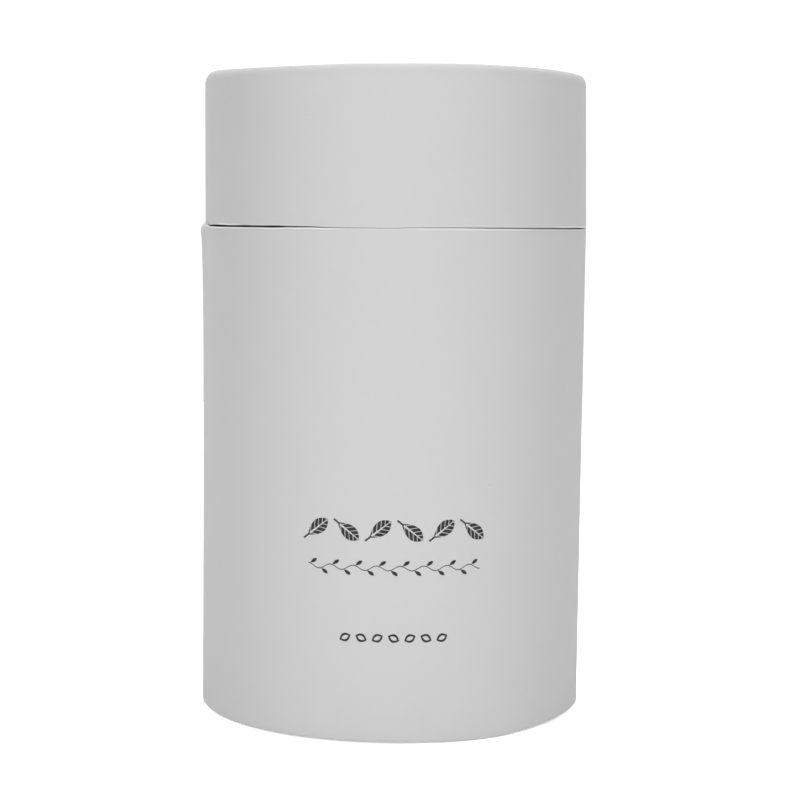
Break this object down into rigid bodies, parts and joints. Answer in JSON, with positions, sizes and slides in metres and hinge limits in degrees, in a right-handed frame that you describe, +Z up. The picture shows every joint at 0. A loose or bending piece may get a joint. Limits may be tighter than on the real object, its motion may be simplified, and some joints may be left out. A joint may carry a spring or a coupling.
{
  "type": "paper tube canister",
  "caption": "Tall round paperboard tube canister with rolled ends, a lift-off slip lid and an inner neck tube that the lid slides over.",
  "frame": {"origin": "centre of the rolled foot, at the height of the surface that it stands on", "axes": "+Z up the tube's axis towards the lid, -Y out of the printed front"},
  "size_m": [0.073, 0.073, 0.12],
  "materials": {
    "body_wrap": "tube board wrapped in matte light grey paper, with flush near-black printing",
    "base_board": "plain pressed board, matte",
    "neck_liner": "spirally wound board lined with white paper, matte",
    "lid_wrap": "tube board wrapped in matte light grey paper",
    "lid_board": "board disc faced with matte light grey paper"
  },
  "bodies": {
    "root": {"body_tube": "body_wrap", "base_disc": "base_board", "inner_tube": "neck_liner", "lid_tube": "lid_wrap", "lid_disc": "lid_board"}
  },
  "joints": []
}
